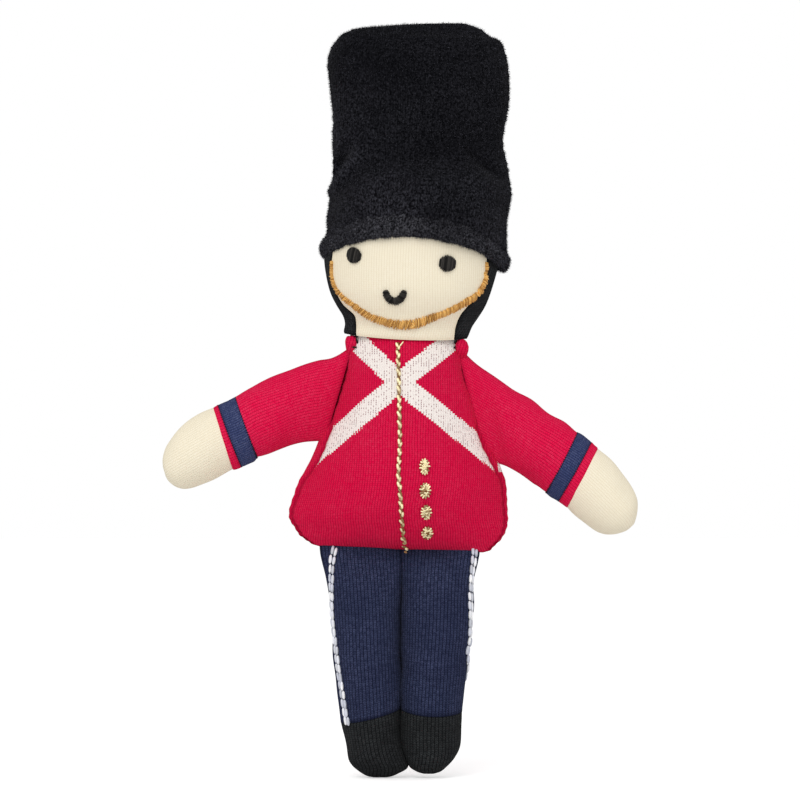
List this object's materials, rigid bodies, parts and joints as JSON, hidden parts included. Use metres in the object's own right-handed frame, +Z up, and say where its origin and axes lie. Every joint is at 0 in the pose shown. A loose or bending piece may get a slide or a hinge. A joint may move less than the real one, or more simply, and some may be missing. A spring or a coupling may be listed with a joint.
{
  "type": "cloth doll",
  "caption": "Small knitted cloth doll of a guardsman in a red tunic, dark trousers and a tall black plush hat, stuffed with fibre, with floppy arms, legs, head and hat.",
  "frame": {"origin": "on the level of the boot soles, midway between the hands and between front and back", "axes": "+Z up through the head, the doll faces -Y, its own left hand is at +X"},
  "size_m": [0.1495, 0.0418, 0.2352],
  "materials": {
    "red_knit": "crimson knitted acrylic, matt",
    "navy_knit": "navy knitted acrylic, matt",
    "black_knit": "black knitted acrylic, matt",
    "cream_knit": "cream knitted acrylic, matt",
    "black_velour": "black ribbed velour with a short pile",
    "gold_thread": "gold metallised embroidery thread, satin",
    "tan_thread": "tan rayon embroidery thread, satin",
    "black_thread": "black embroidery thread, satin",
    "white_thread": "white pearly embroidery thread, satin",
    "polyester_fibre": "white polyester fibre filling"
  },
  "bodies": {
    "torso": {"tunic_front": "red_knit", "tunic_back": "red_knit", "torso_stuffing": "polyester_fibre", "placket_stitching": "gold_thread", "tunic_button_1": "gold_thread", "tunic_button_2": "gold_thread", "tunic_button_3": "gold_thread", "tunic_button_4": "gold_thread"},
    "head": {"face_panel": "cream_knit", "head_back": "black_knit", "head_stuffing": "polyester_fibre", "right_eye": "black_thread", "left_eye": "black_thread", "mouth_stitching": "black_thread", "chin_strap": "tan_thread", "hat_hem": "black_velour", "hat_base_front": "black_velour", "hat_base_back": "black_velour"},
    "hat_crown": {"hat_crown_front": "black_velour", "hat_crown_back": "black_velour", "hat_crown_stuffing": "polyester_fibre"},
    "right_arm": {"right_sleeve": "red_knit", "right_cuff_band": "navy_knit", "right_cuff_edge": "red_knit", "right_hand": "cream_knit", "right_arm_stuffing": "polyester_fibre"},
    "right_leg": {"right_trouser_leg": "navy_knit", "right_boot": "black_knit", "right_leg_stripe": "white_thread", "right_leg_stuffing": "polyester_fibre"},
    "left_arm": {"left_sleeve": "red_knit", "left_cuff_band": "navy_knit", "left_cuff_edge": "red_knit", "left_hand": "cream_knit", "left_arm_stuffing": "polyester_fibre"},
    "left_leg": {"left_trouser_leg": "navy_knit", "left_boot": "black_knit", "left_leg_stripe": "white_thread", "left_leg_stuffing": "polyester_fibre"}
  },
  "joints": [
    {"name": "right_arm_fold", "type": "hinge", "parent": "torso", "child": "right_arm", "pos_m": [-0.02081, 0, 0.11965], "axis": [0.3081, 0, 0.9513], "range_deg": [-60, 60], "stiffness_Nm_per_rad": 0.004},
    {"name": "left_arm_fold", "type": "hinge", "parent": "torso", "child": "left_arm", "pos_m": [0.02451, 0, 0.1175], "axis": [0.2813, 0, -0.9596], "range_deg": [-60, 60], "stiffness_Nm_per_rad": 0.004},
    {"name": "right_leg_swing", "type": "hinge", "parent": "torso", "child": "right_leg", "pos_m": [-0.013, 0, 0.0716], "axis": [-1, 0, 0], "range_deg": [-60, 70]},
    {"name": "left_leg_swing", "type": "hinge", "parent": "torso", "child": "left_leg", "pos_m": [0.013, 0, 0.0716], "axis": [-1, 0, 0], "range_deg": [-60, 70]},
    {"name": "head_nod", "type": "hinge", "parent": "torso", "child": "head", "pos_m": [0.0018, 0, 0.1358], "axis": [1, 0, 0], "range_deg": [-20, 25], "stiffness_Nm_per_rad": 0.12},
    {"name": "hat_flop", "type": "hinge", "parent": "head", "child": "hat_crown", "pos_m": [0.006, 0, 0.193], "axis": [1, 0, 0], "range_deg": [-30, 30], "stiffness_Nm_per_rad": 0.03}
  ]
}
